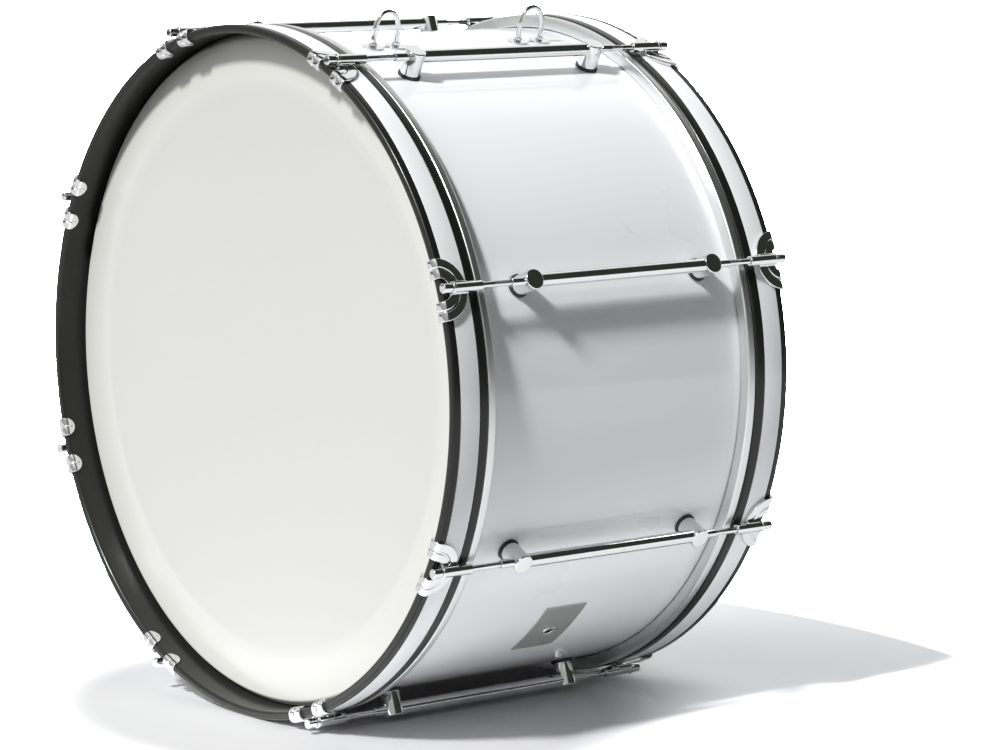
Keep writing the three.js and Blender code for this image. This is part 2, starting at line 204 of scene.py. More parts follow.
# Strap eyes
EYE_ANGLE = math.radians(14)
EYE_FROM_MIDDLE = 90.8 * MM
EYE_PLACES = (HARDWARE_MIDDLE - EYE_FROM_MIDDLE, HARDWARE_MIDDLE + EYE_FROM_MIDDLE)
EYE_LEG = 14 * MM
EYE_WIRE = 2.5 * MM
EYE_SIDES = 20
EYE_APEX = 366 * MM
EYE_TAIL = 8 * MM
EYE_ARCH_STEPS = 14
EYE_SHOULDER_SHARE = 0.62
EYE_LEAN_SHARE = 0.86
WASHER_HALF = 11 * MM
WASHER_THICKNESS = 1.2 * MM
WASHER_LIFT = 0.2 * MM
WASHER_CLEARANCE = 0.3 * MM
WASHER_ROUND = 0.5 * MM
WASHER_SMALL_ROUND = 0.2 * MM
WASHER_BORE_ROUND = 0.1 * MM
NUT_FLATS = 6.8 * MM
NUT_HEIGHT = 3.5 * MM
NUT_LIFT = 0.3 * MM
NUT_CHAMFER = 0.4 * MM
NUT_CHAMFER_SHARE = 0.93
NUT_SIDES = 6

# Vent plate and grommet
PLATE_ANGLE = math.radians(138.9)
PLATE_ALONG = 7.8 * MM
PLATE_WIDTH = 51 * MM
PLATE_HEIGHT = 75.5 * MM
PLATE_THICKNESS = 1 * MM
PLATE_GAP = 0.3 * MM
PLATE_EDGE = 0.35 * MM
PLATE_COLUMNS = 24
PLATE_ROWS = 4
VENT_DROP = 3.5 * MM
VENT_ANGLE = PLATE_ANGLE + VENT_DROP / SHELL_RADIUS
VENT_BORE = 4 * MM
VENT_TUBE = 6 * MM
VENT_FLANGE = 8 * MM
VENT_LIP = 1.4 * MM
VENT_TAIL = 1 * MM
VENT_FIT = 0.1 * MM
VENT_SLOPE = 0.6 * MM
VENT_ROUND = 0.3 * MM
VENT_LIP_ROUND = 0.7 * MM
VENT_MOUTH_ROUND = 1.1 * MM

# Steps round the large rings, round small parts and along a rounded corner
ROUND_SIDES = 256
SMALL_SIDES = 40
ARC_STEPS = 5

# Edges that turn by more than this many degrees stay sharp
SHARP = 40
SHARP_THIN = 30
SHARP_BENT = 35
SHARP_FILM = 50

# Camera, at the photograph's viewpoint
CAMERA_PLACE = Vector((3.0885, -2.3390, 0.8327))
CAMERA_YAW = math.radians(51.476)
CAMERA_PITCH = math.radians(7.47)
CAMERA_ROLL = math.radians(-0.27)
CAMERA_LENS = 137.76
CAMERA_SENSOR = 36
CAMERA_RANGE = 100


def make_camera():
    data = bpy.data.cameras.new("camera")
    data.lens = CAMERA_LENS
    data.sensor_width = CAMERA_SENSOR
    data.clip_end = CAMERA_RANGE
    camera = bpy.data.objects.new("camera", data)
    turn = Matrix.Rotation(CAMERA_YAW, 4, "Z") @ Matrix.Rotation(math.pi / 2 - CAMERA_PITCH, 4, "X")
    camera.matrix_world = Matrix.Translation(CAMERA_PLACE) @ turn @ Matrix.Rotation(CAMERA_ROLL, 4, "Z")
    bpy.context.scene.collection.objects.link(camera)
    bpy.context.scene.camera = camera


# Mesh helpers


def fillet(corners, steps=ARC_STEPS):
    """Outline points from (x, y, radius) corners, each corner with a radius drawn as an arc."""
    points = []
    for i, (x, y, radius) in enumerate(corners):
        here = Vector((x, y))
        if radius == 0:
            points.append(here)
            continue
        before = (Vector(corners[i - 1][:2]) - here).normalized()
        after = (Vector(corners[(i + 1) % len(corners)][:2]) - here).normalized()
        half = math.acos(max(-1, min(1, before.dot(after)))) / 2
        centre = here + (before + after).normalized() * (radius / math.sin(half))
        reach = radius / math.tan(half)
        start = here + before * reach - centre
        end = here + after * reach - centre
        first = math.atan2(start.y, start.x)
        sweep = (math.atan2(end.y, end.x) - first + math.pi) % (2 * math.pi) - math.pi
        for k in range(steps + 1):
            angle = first + sweep * k / steps
            points.append(centre + Vector((math.cos(angle), math.sin(angle))) * radius)
    return points


def mesh_of(name, verts, faces, sharp=SHARP):
    mesh = bpy.data.meshes.new(name)
    mesh.from_pydata([tuple(v) for v in verts], [], faces)
    mesh.validate()
    mesh.shade_smooth()
    mesh.set_sharp_from_angle(angle=math.radians(sharp))
    return mesh


def revolved(outline, sides, closed=True):
    """Verts and faces of an outline of (radius, along) points turned about Y, one column a side."""
    verts, faces, columns = [], [], []
    for i in range(sides):
        angle = 2 * math.pi * i / sides
        column = []
        for j, (radius, along) in enumerate(outline):
            if radius == 0 and i:
                column.append(columns[0][j])
                continue
            column.append(len(verts))
            verts.append(Vector((radius * math.sin(angle), along, radius * math.cos(angle))))
        columns.append(column)
    last = len(outline) if closed else len(outline) - 1
    for i in range(sides):
        here, there = columns[i], columns[(i + 1) % sides]
        for j in range(last):
            k = (j + 1) % len(outline)
            face = [here[j], there[j], there[k], here[k]]
            faces.append([v for n, v in enumerate(face) if v != face[n - 1]])
    return verts, faces


def joined(*parts):
    """One list of verts and faces from several."""
    verts, faces = [], []
    for part_verts, part_faces in parts:
        start = len(verts)
        verts += part_verts
        faces += [[start + v for v in face] for face in part_faces]
    return verts, faces


def moved(part, matrix):
    return [matrix @ v for v in part[0]], part[1]


def swept(sections):
    """A closed solid through loops of points that all have the same length, with flat ends."""
    count = len(sections[0])
    verts = [point for section in sections for point in section]
    faces = []
    for i in range(len(sections) - 1):
        for j in range(count):
            k = (j + 1) % count
            faces.append([i * count + j, i * count + k, (i + 1) * count + k, (i + 1) * count + j])
    faces.append(list(reversed(range(count))))
    faces.append([(len(sections) - 1) * count + j for j in range(count)])
    return verts, faces


def bar(radius, low, high, sides=SMALL_SIDES):
    """A plain cylinder about Y."""
    return revolved([(0, low), (radius, low), (radius, high), (0, high)], sides, closed=False)


def pin(radius, low, high):
    """A plain cylinder about Z."""
    return moved(bar(radius, low, high), UPRIGHT)


def turned(corners):
    """A solid turned about Y from rounded corners that begin and end on its axis."""
    return revolved([(max(0, point.x), point.y) for point in fillet(corners)], SMALL_SIDES, closed=False)


def box_part(half_across, low, high, half_out):
    shares = ((-1, -1), (1, -1), (1, 1), (-1, 1))
    corners = [(half_across * x, half_out * z) for x, z in shares]
    return swept([[Vector((x, along, z)) for x, z in corners] for along in (low, high)])


def cut(mesh, *cutters):
    """The mesh with the cutters' solids taken out of it."""
    body = bpy.data.objects.new(mesh.name + "_whole", mesh)
    bpy.context.scene.collection.objects.link(body)
    helpers = [body]
    for number, (verts, faces) in enumerate(cutters):
        tool = bpy.data.objects.new(f"{mesh.name}_cutter_{number}", mesh_of("cutter", verts, faces))
        bpy.context.scene.collection.objects.link(tool)
        helpers.append(tool)
        modifier = body.modifiers.new("cut", "BOOLEAN")
        modifier.operation = "DIFFERENCE"
        modifier.solver = "EXACT"
        modifier.object = tool
    bpy.context.view_layer.update()
    result = bpy.data.meshes.new_from_object(body.evaluated_get(bpy.context.evaluated_depsgraph_get()))
    result.name = mesh.name
    for helper in helpers:
        bpy.data.objects.remove(helper)
    result.set_sharp_from_angle(angle=math.radians(SHARP))
    return result


def station(angle, along=0, side="rear"):
    """Matrix from a station's own frame, with across X, along Y and out Z, to the row frame."""
    turn = Matrix.Rotation(math.pi, 4, "Z") if side == "front" else Matrix.Identity(4)
    angle = -angle if side == "front" else angle
    tilt = Matrix.Rotation(angle, 4, "Y")
    return Matrix.Translation((0, 0, AXIS)) @ turn @ tilt @ Matrix.Translation((0, along, 0))


# Materials

# The two colours that each finish runs between. The film's are darker than a real white film's, because the
# key and fill lamps together light the front head at about 1.75 times a plain level. Under plain light it shows
# as light grey, and there it wants paler colours here.
TONES = {
    "shell": ((0.76, 0.768, 0.785), (0.8, 0.806, 0.818)),
    "hoop": ((0.006, 0.0064, 0.005), (0.012, 0.0125, 0.01)),
    "inlay": ((0.78, 0.785, 0.8), (0.82, 0.825, 0.84)),
    "film_middle": ((0.435, 0.437, 0.416), (0.45, 0.452, 0.434)),
    "film_rim": ((0.475, 0.476, 0.451), (0.49, 0.491, 0.466)),
    "chrome": ((0.77, 0.775, 0.78), (0.84, 0.84, 0.845)),
    "flesh": ((0.68, 0.69, 0.69), (0.78, 0.79, 0.78)),
    "rubber": ((0.012, 0.012, 0.012), (0.03, 0.03, 0.03)),
    "foam": ((0.8, 0.8, 0.78), (0.62, 0.62, 0.6)),
    "plate": ((0.5, 0.51, 0.49), (0.62, 0.63, 0.6)),
}

# The roughness that each finish runs between
ROUGHNESS = {
    "shell": (0.24, 0.34), "hoop": (0.26, 0.4), "inlay": (0.18, 0.28), "film": (0.14, 0.2),
    "chrome": (0.05, 0.11), "flesh": (0.3, 0.42), "rubber": (0.5, 0.68), "plate": (0.3, 0.44),
}

# How deep each finish's fine relief is, and its strength
RELIEF = {
    "shell": (0.04 * MM, 0.5), "hoop": (0.06 * MM, 0.6), "inlay": (0.03 * MM, 0.5),
    "film": (0.05 * MM, 0.5), "chrome": (0.03 * MM, 0.4), "flesh": (0.03 * MM, 0.6),
    "rubber": (0.1 * MM, 0.5), "foam": (0.2 * MM, 0.8), "plate": (0.04 * MM, 0.7),
}

# Scale, detail and roughness of the noises in the finishes
NOISES = {
    "shell_tone": (3.5, 2, 0.5), "shell_polish": (9, 4, 0.5), "shell_relief": (260, 2, 0.5),
    "hoop_streaks": (1, 4, 0.5), "hoop_polish": (18, 4, 0.5),
    "inlay_tone": (6, 3, 0.5), "inlay_polish": (22, 3, 0.5), "inlay_relief": (300, 2, 0.5),
    "film_middle": (2.2, 2, 0.5), "film_rim": (7, 3, 0.5), "film_polish": (30, 3, 0.5),
    "film_relief": (420, 4, 0.7),
    "chrome_haze": (45, 4, 0.5), "chrome_relief": (180, 2, 0.5),
    "flesh_streaks": (1, 3, 0.5), "plate_streaks": (1, 3, 0.5), "rubber_grain": (700, 4, 0.5),
}
FOAM_CELLS = 900.0

# How often the streaks repeat: round, along and out on the hoops, and across, along and up on the plate
HOOP_STREAKS = (14, 900, 1)
FLESH_STREAKS = (6, 2600, 2600)
PLATE_STREAKS = (60, 4200, 60)

# Numbers of the colour mix node's two inputs and of its output
MIX_FIRST = 6
MIX_SECOND = 7
MIX_RESULT = 2


class Nodes:
    """Adds and links the shader nodes of a material or a world."""

    def __init__(self, owner, cleared=False):
        owner.use_nodes = True
        self.owner = owner
        self.tree = owner.node_tree
        if cleared:
            self.tree.nodes.clear()

    def feed(self, socket, value):
        """Links a socket to a node's output, or sets it to a plain value."""
        if isinstance(value, bpy.types.NodeSocket):
            self.tree.links.new(value, socket)
        else:
            socket.default_value = value

    def add(self, kind, inputs=None, **settings):
        node = self.tree.nodes.new(kind)
        for key, value in settings.items():
            setattr(node, key, value)
        for key, value in (inputs or {}).items():
            self.feed(node.inputs[key], value)
        return node

    def set(self, **values):
        shader = self.tree.nodes["Principled BSDF"]
        for key, value in values.items():
            self.feed(shader.inputs[key.replace("_", " ")], value)

    def math(self, operation, first, second=0.0):
        return self.add("ShaderNodeMath", {0: first, 1: second}, operation=operation).outputs[0]

    def vector_math(self, operation, inputs, output=0):
        return self.add("ShaderNodeVectorMath", inputs, operation=operation).outputs[output]

    def place(self):
        return self.add("ShaderNodeTexCoord").outputs["Object"]

    def noise(self, name, vector=None):
        scale, detail, roughness = NOISES[name]
        inputs = {"Vector": vector or self.place(), "Scale": scale, "Detail": detail, "Roughness": roughness}
        return self.add("ShaderNodeTexNoise", inputs).outputs["Fac"]

    def spread(self, value, low, high, start=0.0, end=1.0, kind="LINEAR"):
        """Carries a value from the range start to end over to the range low to high."""
        inputs = {"Value": value, "From Min": start, "From Max": end, "To Min": low, "To Max": high}
        return self.add("ShaderNodeMapRange", inputs, interpolation_type=kind).outputs["Result"]

    def mix(self, share, first, second, kind="MIX"):
        inputs = {"Factor": share, MIX_FIRST: first, MIX_SECOND: second}
        return self.add("ShaderNodeMix", inputs, data_type="RGBA", blend_type=kind).outputs[MIX_RESULT]

    def tones(self, share, finish):
        """A colour between the two tones of a finish."""
        return self.mix(share, *((*tone, 1) for tone in TONES[finish]))

    def rough(self, share, finish):
        return self.spread(share, *ROUGHNESS[finish])

    def bump(self, height, finish):
        distance, strength = RELIEF[finish]
        inputs = {"Height": height, "Distance": distance, "Strength": strength}
        return self.add("ShaderNodeBump", inputs).outputs["Normal"]

    def split(self, vector):
        return self.add("ShaderNodeSeparateXYZ", {0: vector}).outputs

    def around(self):
        """(angle, along, radius) about the drum's axis, for grain and polish that run round it."""
        across, along, up = self.split(self.place())
        height = self.math("SUBTRACT", up, AXIS)
        angle = self.math("ARCTAN2", across, height)
        square = self.math("ADD", self.math("POWER", across, 2), self.math("POWER", height, 2))
        return angle, along, self.math("SQRT", square)

    def streaks(self, name, parts, repeats):
        """A noise that is stretched by its own number of repeats in each direction."""
        scaled = [self.math("MULTIPLY", part, repeat) for part, repeat in zip(parts, repeats)]
        vector = self.add("ShaderNodeCombineXYZ", dict(enumerate(scaled))).outputs[0]
        return self.noise(name, vector)

    def ramp(self, value, stops):
        made = self.add("ShaderNodeValToRGB", {0: value})
        elements = made.color_ramp.elements
        while len(elements) < len(stops):
            elements.new(HALF)
        for element, (position, colour) in zip(elements, stops):
            element.position = position
            element.color = (*colour, 1)
        return made.outputs[0]

    def end_by_ray(self, kind, other, mirrored, seen):
        """Ends with one shader for the camera, one for glossy rays and one for all other rays."""
        path = self.add("ShaderNodeLightPath").outputs
        for ray, shader in (("Is Glossy Ray", mirrored), ("Is Camera Ray", seen)):
            other = self.add("ShaderNodeMixShader", {0: path[ray], 1: other, 2: shader}).outputs[0]
        self.add(kind, {"Surface": other})


def lacquer_white(made):
    made.set(
        Base_Color=made.tones(made.noise("shell_tone"), "shell"),
        Roughness=made.rough(made.noise("shell_polish"), "shell"),
        Specular_IOR_Level=0.5,
        Coat_Weight=0.8,
        Coat_Roughness=0.06,
        Normal=made.bump(made.noise("shell_relief"), "shell"),
    )


def lacquer_black(made):
    grain = made.streaks("hoop_streaks", made.around(), HOOP_STREAKS)
    made.set(
        Base_Color=made.tones(grain, "hoop"),
        Roughness=made.rough(made.noise("hoop_polish"), "hoop"),
        Specular_IOR_Level=0.28,
        Coat_Weight=0.2,
        Coat_Roughness=0.12,
        Normal=made.bump(grain, "hoop"),
    )


def inlay_white(made):
    made.set(
        Base_Color=made.tones(made.noise("inlay_tone"), "inlay"),
        Roughness=made.rough(made.noise("inlay_polish"), "inlay"),
        Coat_Weight=0.6,
        Coat_Roughness=0.05,
        Normal=made.bump(made.noise("inlay_relief"), "inlay"),
    )


def film(made):
    radius = made.around()[2]
    rim = made.spread(radius, 0, 1, FILM_STEP_IN - RIM_TONE_IN, FILM_STEP_OUT + RIM_TONE_OUT)
    middle = made.tones(made.noise("film_middle"), "film_middle")
    outer = made.tones(made.noise("film_rim"), "film_rim")
    made.set(
        Base_Color=made.mix(rim, middle, outer),
        Roughness=made.rough(made.noise("film_polish"), "film"),
        Specular_IOR_Level=0.5,
        Normal=made.bump(made.noise("film_relief"), "film"),
    )


def chrome(made):
    haze = made.noise("chrome_haze")
    made.set(
        Base_Color=made.tones(haze, "chrome"),
        Metallic=1.0,
        Roughness=made.rough(haze, "chrome"),
        Normal=made.bump(made.noise("chrome_relief"), "chrome"),
    )


def flesh_metal(made):
    drawn = made.streaks("flesh_streaks", made.around(), FLESH_STREAKS)
    made.set(
        Base_Color=made.tones(drawn, "flesh"),
        Metallic=1.0,
        Roughness=made.rough(drawn, "flesh"),
        Normal=made.bump(drawn, "flesh"),
    )


def rubber(made):
    fine = made.noise("rubber_grain")
    made.set(
        Base_Color=made.tones(fine, "rubber"),
        Roughness=made.rough(fine, "rubber"),
        Normal=made.bump(fine, "rubber"),
    )


def foam(made):
    inputs = {"Vector": made.place(), "Scale": FOAM_CELLS}
    cells = made.add("ShaderNodeTexVoronoi", inputs).outputs["Distance"]
    made.set(
        Base_Color=made.tones(cells, "foam"),
        Roughness=0.9,
        Normal=made.bump(cells, "foam"),
    )


def plate_metal(made):
    brushed = made.streaks("plate_streaks", made.split(made.place()), PLATE_STREAKS)
    made.set(
        Base_Color=made.tones(brushed, "plate"),
        Metallic=0.85,
        Roughness=made.rough(brushed, "plate"),
        Normal=made.bump(brushed, "plate"),
    )


# Each finish's maker, material name and slot
FINISHES = {
    "shell": (lacquer_white, "shell_lacquer", "shell_lacquer"),
    "film": (film, "head_film", "head_film"),
    "foam": (foam, "damping_foam", "damping_foam"),
    "flesh": (flesh_metal, "flesh_hoop_metal", "flesh_hoop_metal"),
    "hoop": (lacquer_black, "hoop_lacquer", "hoop_lacquer"),
    "inlay": (inlay_white, "hoop_inlay", "hoop_inlay_white"),
    "chrome": (chrome, "chrome", "chrome_hardware"),
    "rubber": (rubber, "gasket_rubber", "chrome_hardware"),
    "plate": (plate_metal, "vent_plate_metal", "vent_plate_metal"),
}


def make_materials():
    """Each finish with its material and its slot."""
    made = {}
    for finish, (paint, name, slot) in FINISHES.items():
        material = bpy.data.materials.new(name)
        paint(Nodes(material))
        made[finish] = (material, slot)
    return made


MATERIALS = make_materials()


def dress(name, mesh, finish, matrix, body, *nodes):
    """Bakes a mesh into the row frame, rides it on its body and lets it stand for its CAD nodes."""
    material, slot = MATERIALS[finish]
    own = mesh.copy()
    own.name = name
    own.transform(matrix)
    own.materials.append(material)
    piece = bpy.data.objects.new(name, own)
    bpy.context.scene.collection.objects.link(piece)
    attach(piece, body)
    if nodes:
        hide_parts(*nodes)


# Rings: shell, film, damping ring, flesh hoop, wood hoop and inlay


def shell_mesh():
    crown = SHELL_RADIUS - SHELL_BEVEL
    inner = SHELL_RADIUS - SHELL_WALL
    half = [
        (SHELL_RADIUS, SHELL_END - SHELL_SHOULDER, SHELL_SHOULDER_ROUND),
        (crown, SHELL_END, SHELL_CROWN_ROUND),
        (inner, SHELL_END - (crown - inner), SHELL_INNER_ROUND),
    ]
    other = [(radius, -along, round_) for radius, along, round_ in reversed(half)]
    whole = mesh_of("shell", *revolved(fillet(other + half), ROUND_SIDES), SHARP_THIN)
    holes = [(VENT_TUBE, VENT_ANGLE, PLATE_ALONG)]
    holes += [(EYE_WIRE, EYE_ANGLE, along + sign * EYE_LEG) for along in EYE_PLACES for sign in SIGNS]
    cutters = []
    for radius, angle, along in holes:
        turn = Matrix.Rotation(angle, 4, "Y") @ Matrix.Translation((0, along, 0))
        cutters.append(moved(pin(radius, inner - CUT_MARGIN, SHELL_RADIUS + CUT_MARGIN), turn))
    return cut(whole, *cutters)


def film_mesh():
    """A skin with a fine step round its middle and a collar that slopes down into the flesh hoop."""
    middle = [(0, FILM_OUTSIDE - FILM_STEP)]
    for k in range(FILM_STEP_ROWS + 1):
        share = k / FILM_STEP_ROWS
        rise = share * share * (3 - 2 * share)
        radius = FILM_STEP_IN + (FILM_STEP_OUT - FILM_STEP_IN) * share
        middle.append((radius, FILM_OUTSIDE - FILM_STEP * (1 - rise)))
    skirt_end = FLESH_LOW + FILM_SKIRT
    outer = fillet([
        (FILM_STEP_OUT, FILM_OUTSIDE, 0),
        (FILM_FLAT, FILM_OUTSIDE, FILM_CROWN),
        (FILM_EDGE, FILM_OUTSIDE - FILM_DROP, FILM_EDGE_ROUND),
        (FILM_EDGE, skirt_end, 0),
    ])
    inner = fillet([
        (FILM_STEP_OUT, FILM_OUTSIDE - FILM_THICKNESS, 0),
        (FILM_FLAT - FILM_THICKNESS / 2, FILM_OUTSIDE - FILM_THICKNESS, FILM_CROWN - FILM_THICKNESS),
        (FILM_EDGE - FILM_THICKNESS, FILM_OUTSIDE - FILM_DROP, FILM_EDGE_ROUND),
        (FILM_EDGE - FILM_THICKNESS, skirt_end, 0),
    ])
    top = middle + [tuple(point) for point in outer[1:]]
    below = [(radius, along - FILM_THICKNESS) for radius, along in middle]
    below += [tuple(point) for point in inner[1:]]
    return mesh_of("head", *revolved(below + list(reversed(top)), ROUND_SIDES, closed=False), SHARP_FILM)


def damping_ring_mesh():
    outer = SHELL_RADIUS - SHELL_WALL - RING_CLEARANCE
    inner = outer - RING_WIDTH
    low = SHELL_END - RING_THICKNESS - FILM_STEP
    high = SHELL_END - FILM_STEP
    corners = ((outer, low), (outer, high), (inner, high), (inner, low))
    outline = fillet([(radius, along, RING_ROUND) for radius, along in corners])
    return mesh_of("damping_ring", *revolved(outline, ROUND_SIDES))


def flesh_hoop_mesh():
    lip = HOOP_INNER + FLESH_LIP
    step = FLESH_LOW + FLESH_STEP
    outline = fillet([
        (FLESH_OUTER, FLESH_LOW, FLESH_LOW_ROUND),
        (FLESH_OUTER, FLESH_TOP, FLESH_TOP_ROUND),
        (lip, FLESH_TOP, FLESH_LIP_ROUND),
        (lip, step, FLESH_CORNER_ROUND),
        (FLESH_INNER, step, FLESH_STEP_ROUND),
        (FLESH_INNER, FLESH_LOW, FLESH_INNER_ROUND),
    ])
    return mesh_of("flesh_hoop", *revolved(outline, ROUND_SIDES))


def wood_hoop_mesh():
    low = INLAY_LOW - INLAY_GAP
    high = INLAY_HIGH + INLAY_GAP
    floor = HOOP_RADIUS - INLAY_RECESS - INLAY_THICKNESS
    outline = fillet([
        (HOOP_RADIUS, HOOP_REAR, HOOP_ROUND),
        (HOOP_RADIUS, low, INLAY_LIP_ROUND),
        (floor, low, 0),
        (floor, high, 0),
        (HOOP_RADIUS, high, INLAY_LIP_ROUND),
        (HOOP_RADIUS, HOOP_FRONT, HOOP_ROUND),
        (HOOP_INNER, HOOP_FRONT, HOOP_INNER_ROUND),
        (HOOP_INNER, HOOP_REAR, HOOP_REAR_ROUND),
    ])
    return mesh_of("wood_hoop", *revolved(outline, ROUND_SIDES))


def inlay_mesh():
    outer = HOOP_RADIUS - INLAY_RECESS
    inner = outer - INLAY_THICKNESS + INLAY_LIFT
    outline = fillet([
        (outer, INLAY_LOW, INLAY_ROUND),
        (outer, INLAY_HIGH, INLAY_ROUND),
        (inner, INLAY_HIGH, 0),
        (inner, INLAY_LOW, 0),
    ])
    return mesh_of("hoop_inlay", *revolved(outline, ROUND_SIDES))


# Claw hooks


def crowned(low, high):
    """A band of the plate, raised a little along its middle."""
    shares = [k / CLAW_CROWN_STEPS for k in range(1, CLAW_CROWN_STEPS)]
    return [(low + (high - low) * share, -CLAW_CROWN * math.sin(math.pi * share), 0) for share in shares]


def claw_section():
    """Across the plate: (distance from the claw's middle, depth below the skin, how deep in the groove)."""
    edge = [(CLAW_NOTCH, CLAW_PLATE, 0)]
    for k in range(ARC_STEPS + 1):
        angle = math.pi / 2 * k / ARC_STEPS
        across = CLAW_NOTCH + CLAW_EDGE_ROUND * (1 - math.cos(angle))
        edge.append((across, CLAW_EDGE_ROUND * (1 - math.sin(angle)), 0))
    section = edge + crowned(CLAW_NOTCH + CLAW_EDGE_ROUND, GROOVE_INNER)
    for k in range(GROOVE_STEPS + 1):
        share = k / GROOVE_STEPS
        across = GROOVE_INNER + (GROOVE_OUTER - GROOVE_INNER) * share
        section.append((across, 0, math.sin(math.pi * share) ** GROOVE_POWER))
    section += crowned(GROOVE_OUTER, CLAW_REACH - CLAW_EDGE_ROUND)
    span = CLAW_REACH + CLAW_NOTCH
    return section + [(span - across, depth, groove) for across, depth, groove in reversed(edge)]


def leg_path():
    """Skin points (along, height over the hoop, lean, distance) from the hook's tip round the hoop's edge."""
    tip = HOOP_FRONT - HOOK_REACH
    hook = HOOP_INNER - CLAW_TOUCH - CLAW_PLATE - HOOP_RADIUS
    face = HOOP_FRONT + CLAW_TOUCH + CLAW_PLATE
    top = CLAW_GAP + CLAW_PLATE
    flat = face - CLAW_BEND - tip
    quarter = CLAW_BEND * math.pi / 2
    path = []
    for k in range(CLAW_LEG_STEPS):
        away = flat * (1 - math.cos(math.pi / 2 * k / CLAW_LEG_STEPS))
        path.append((tip + away, hook, -math.pi / 2, away))
    for k in range(CLAW_LEG_STEPS + 1):
        angle = math.pi / 2 * k / CLAW_LEG_STEPS
        along = face - CLAW_BEND + CLAW_BEND * math.sin(angle)
        height = hook + CLAW_BEND * (1 - math.cos(angle))
        path.append((along, height, angle - math.pi / 2, flat + quarter * k / CLAW_LEG_STEPS))
    for k in range(CLAW_LEG_STEPS + 1):
        angle = math.pi / 2 * k / CLAW_LEG_STEPS
        along = face - CLAW_BEND + CLAW_BEND * math.cos(angle)
        path.append((along, top - CLAW_BEND + CLAW_BEND * math.sin(angle), angle, flat + quarter))
    return path


def bend(point):
    """From flat (across, along, height over the hoop) to the hoop's round."""
    angle = point[0] / HOOP_RADIUS
    radius = HOOP_RADIUS + point[2]
    return Vector((radius * math.sin(angle), point[1], radius * math.cos(angle)))


def claw_mesh():
    """A plate bent over the hoop's edge into two hooks, with a saddle and the rod's sleeve on it."""
    section = claw_section()
    path = leg_path()
    middle = (CLAW_REACH + CLAW_NOTCH) / 2
    half = (CLAW_REACH - CLAW_NOTCH) / 2
    centre = HOOP_FRONT + CLAW_AHEAD
    top = CLAW_GAP + CLAW_PLATE
    legs = []
    for along, height, lean, away in path:
        width = math.sqrt(max(0, 1 - (1 - min(1, away / half)) ** 2))
        fade = min(1, max(0, (away - GROOVE_START) / GROOVE_FADE))
        loop = []
        for across, depth, groove in section:
            down = depth + GROOVE_DEPTH * groove * fade
            spot = middle + (across - middle) * max(HOOK_TIP_SHARE, width)
            if lean > 0:
                spot = math.sqrt(spot ** 2 - max(0, centre - along) ** 2)
            loop.append(Vector((spot, along - down * math.cos(lean), height - down * math.sin(lean))))
        legs.append(loop)
    last = path[-1][0]
    arc = []
    for k in range(1, CLAW_ARCH_STEPS):
        loop = []
        for across, depth, groove in section:
            first_angle = math.asin((centre - last) / across)
            angle = first_angle + (math.pi - 2 * first_angle) * k / CLAW_ARCH_STEPS
            down = depth + GROOVE_DEPTH * groove
            loop.append(Vector((across * math.cos(angle), centre - across * math.sin(angle), top - down)))
        arc.append(loop)
    far = [[Vector((-p.x, p.y, p.z)) for p in loop] for loop in reversed(legs)]
    verts, faces = swept(legs + arc + far)
    strip = ([bend(v) for v in verts], faces)
    return mesh_of("claw", *joined(strip, sleeve_part(), saddle_part()), SHARP_BENT)


def sleeve_part():
    outer_end = ROD_END - ROD_HEAD_LENGTH - SLEEVE_CLEARANCE
    inner_end = outer_end - SLEEVE_LENGTH
    collar = outer_end - COLLAR_LENGTH
    outline = fillet([
        (SLEEVE_HALF, inner_end, SLEEVE_ROUND),
        (SLEEVE_HALF, collar, COLLAR_STEP_ROUND),
        (COLLAR_HALF, collar, COLLAR_STEP_ROUND),
        (COLLAR_HALF, outer_end, SLEEVE_ROUND),
        (SLEEVE_BORE, outer_end, SLEEVE_BORE_ROUND),
        (SLEEVE_BORE, inner_end, SLEEVE_BORE_ROUND),
    ], SLEEVE_ARC_STEPS)
    return moved(revolved(outline, SMALL_SIDES), Matrix.Translation((0, 0, ROD_RADIUS)))


def saddle_part():
    """A straight-sided bridge from the plate up to the sleeve, rounded at both ends."""
    centre = HOOP_FRONT + CLAW_AHEAD
    low = centre - CLAW_REACH + SADDLE_INSET
    high = centre - CLAW_NOTCH - SADDLE_INSET
    base = CLAW_GAP + SADDLE_SINK
    sections = [(low + back, SADDLE_TOP - drop) for back, drop in SADDLE_INNER_END]
    sections += [(high - back, SADDLE_TOP - drop) for back, drop in SADDLE_OUTER_END]
    loops = []
    for along, height in sections:
        outline = fillet([
            (-SADDLE_HALF, base, 0),
            (SADDLE_HALF, base, 0),
            (SADDLE_HALF, height, SADDLE_ROUND),
            (-SADDLE_HALF, height, SADDLE_ROUND),
        ])
        loops.append([bend((point.x, along, point.y)) for point in reversed(outline)])
    return swept(loops)


# Rods


